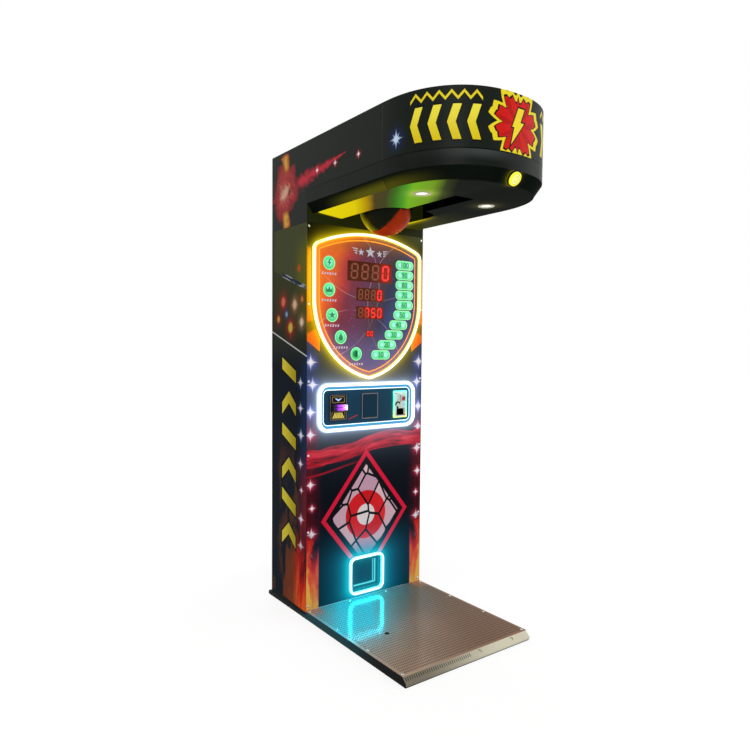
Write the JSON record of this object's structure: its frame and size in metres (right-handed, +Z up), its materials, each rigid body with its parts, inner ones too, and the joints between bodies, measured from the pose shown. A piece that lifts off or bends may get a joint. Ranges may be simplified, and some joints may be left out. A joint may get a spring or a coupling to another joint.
{
  "type": "punch tester",
  "caption": "Floor-standing strength tester: a tall cabinet whose head overhangs a steel tread deck, with a drop-down punch ball, score shield, coin unit and prize outlet.",
  "frame": {"origin": "on the floor, under the middle of the machine's overall length and width", "axes": "+X to the right seen from the player's side, -Y towards the player, +Z up"},
  "size_m": [0.705, 1.3546, 2.25],
  "materials": {
    "frame_steel": "satin black powder coat",
    "deck_wood": "black painted board",
    "tread_steel": "bright, embossed with rows of dashes",
    "screw_steel": "bright",
    "printed_skin": "steel under a printed satin film",
    "dark_skin": "satin black",
    "black_plastic": "fine grain",
    "red_plastic": "gloss",
    "printed_acrylic": "gloss, printed on its back",
    "score_lens": "lit, translucent green",
    "display_window": "dark red filter",
    "yellow_light": "lit tube, white with a yellow glow",
    "white_light": "lit, white",
    "cyan_light": "lit tube, white with a cyan glow",
    "pale_plastic": "satin",
    "chute_steel": "satin",
    "flap_acrylic": "smoked teal",
    "bezel_cream": "satin cream",
    "yellow_plastic": "translucent, lit",
    "ground_steel": "bright",
    "arm_paint": "satin black",
    "ball_leather": "glossy, red and black gores",
    "disc_alloy": "satin",
    "bumper_rubber": "matt",
    "coil_plastic": "wound coil under tape",
    "board_green": "closed housing"
  },
  "bodies": {
    "cabinet": {"base_frame": "frame_steel", "upright_posts": "frame_steel", "head_rails": "frame_steel", "cross_bars": "frame_steel", "bearing_blocks": "frame_steel", "equipment_shelf": "frame_steel", "cash_box": "frame_steel", "deck_board": "deck_wood", "tread_plate": "tread_steel", "plate_screws": "screw_steel", "panel_screws": "screw_steel", "door_hinges": "screw_steel", "left_side": "printed_skin", "right_side": "printed_skin", "front_panel": "printed_skin", "throat_panel": "printed_skin", "head_left_side": "printed_skin", "head_right_side": "printed_skin", "nose_skin": "printed_skin", "trim_band": "dark_skin", "side_chamfers": "dark_skin", "nose_chamfer": "dark_skin", "belly_panel": "dark_skin", "top_cover": "dark_skin", "rear_panel": "dark_skin", "inlet_module": "black_plastic", "button_bezel": "black_plastic", "note_bezel": "black_plastic", "note_validator": "black_plastic", "coin_mech": "black_plastic", "speed_sensor": "black_plastic", "speaker": "black_plastic", "blank_plate": "black_plastic", "shield_backing": "black_plastic", "coin_panel": "black_plastic", "outlet_plate": "black_plastic", "shield_face": "printed_acrylic", "score_lenses": "score_lens", "display_filters": "display_window", "shield_neon": "yellow_light", "coin_neon": "white_light", "downlight_lenses": "white_light", "outlet_neon": "cyan_light", "coin_face": "pale_plastic", "outlet_chute": "chute_steel", "downlight_bezels": "bezel_cream", "stop_bumper": "bumper_rubber", "latch_solenoid": "coil_plastic", "control_box": "board_green"},
    "ball_arm": {"arm_shaft": "ground_steel", "punch_arm": "arm_paint", "punch_ball": "ball_leather", "speed_disc": "disc_alloy"},
    "start_button": {"start_button": "yellow_plastic"},
    "coin_button": {"coin_return_button": "red_plastic"},
    "prize_flap": {"outlet_flap": "flap_acrylic"},
    "rear_door": {"service_door": "dark_skin"},
    "door_cam": {"door_lock": "ground_steel"},
    "latch": {"latch_pin": "ground_steel"},
    "mains_switch": {"power_rocker": "red_plastic"}
  },
  "joints": [
    {"name": "ball_swing", "type": "hinge", "parent": "cabinet", "child": "ball_arm", "pos_m": [0, -0.33172, 2.007], "axis": [-1, 0, 0], "range_deg": [0, 91]},
    {"name": "start_button_press", "type": "slide", "parent": "cabinet", "child": "start_button", "axis": [0, 0.8209, 0.5711], "range_m": [0, 0.003], "stiffness_N_per_m": 400, "springref_m": -0.004},
    {"name": "coin_return_press", "type": "slide", "parent": "cabinet", "child": "coin_button", "axis": [0, 1, 0], "range_m": [0, 0.004], "stiffness_N_per_m": 200, "springref_m": -0.003},
    {"name": "outlet_flap_swing", "type": "hinge", "parent": "cabinet", "child": "prize_flap", "pos_m": [-0.005, 0.30228, 0.221], "axis": [1, 0, 0], "range_deg": [0, 75]},
    {"name": "service_door_swing", "type": "hinge", "parent": "cabinet", "child": "rear_door", "pos_m": [0.266, 0.64828, 0.89], "axis": [0, 0, -1], "range_deg": [0, 110]},
    {"name": "door_lock_turn", "type": "hinge", "parent": "rear_door", "child": "door_cam", "pos_m": [-0.23, 0.62928, 0.89], "axis": [0, -1, 0], "range_deg": [0, 90]},
    {"name": "latch_pin_slide", "type": "slide", "parent": "cabinet", "child": "latch", "axis": [-1, 0, 0], "range_m": [0, 0.028], "stiffness_N_per_m": 80, "springref_m": -0.005},
    {"name": "power_rocker_tilt", "type": "hinge", "parent": "cabinet", "child": "mains_switch", "pos_m": [-0.25, 0.63828, 0.221], "axis": [-1, 0, 0], "range_deg": [0, 16]}
  ]
}
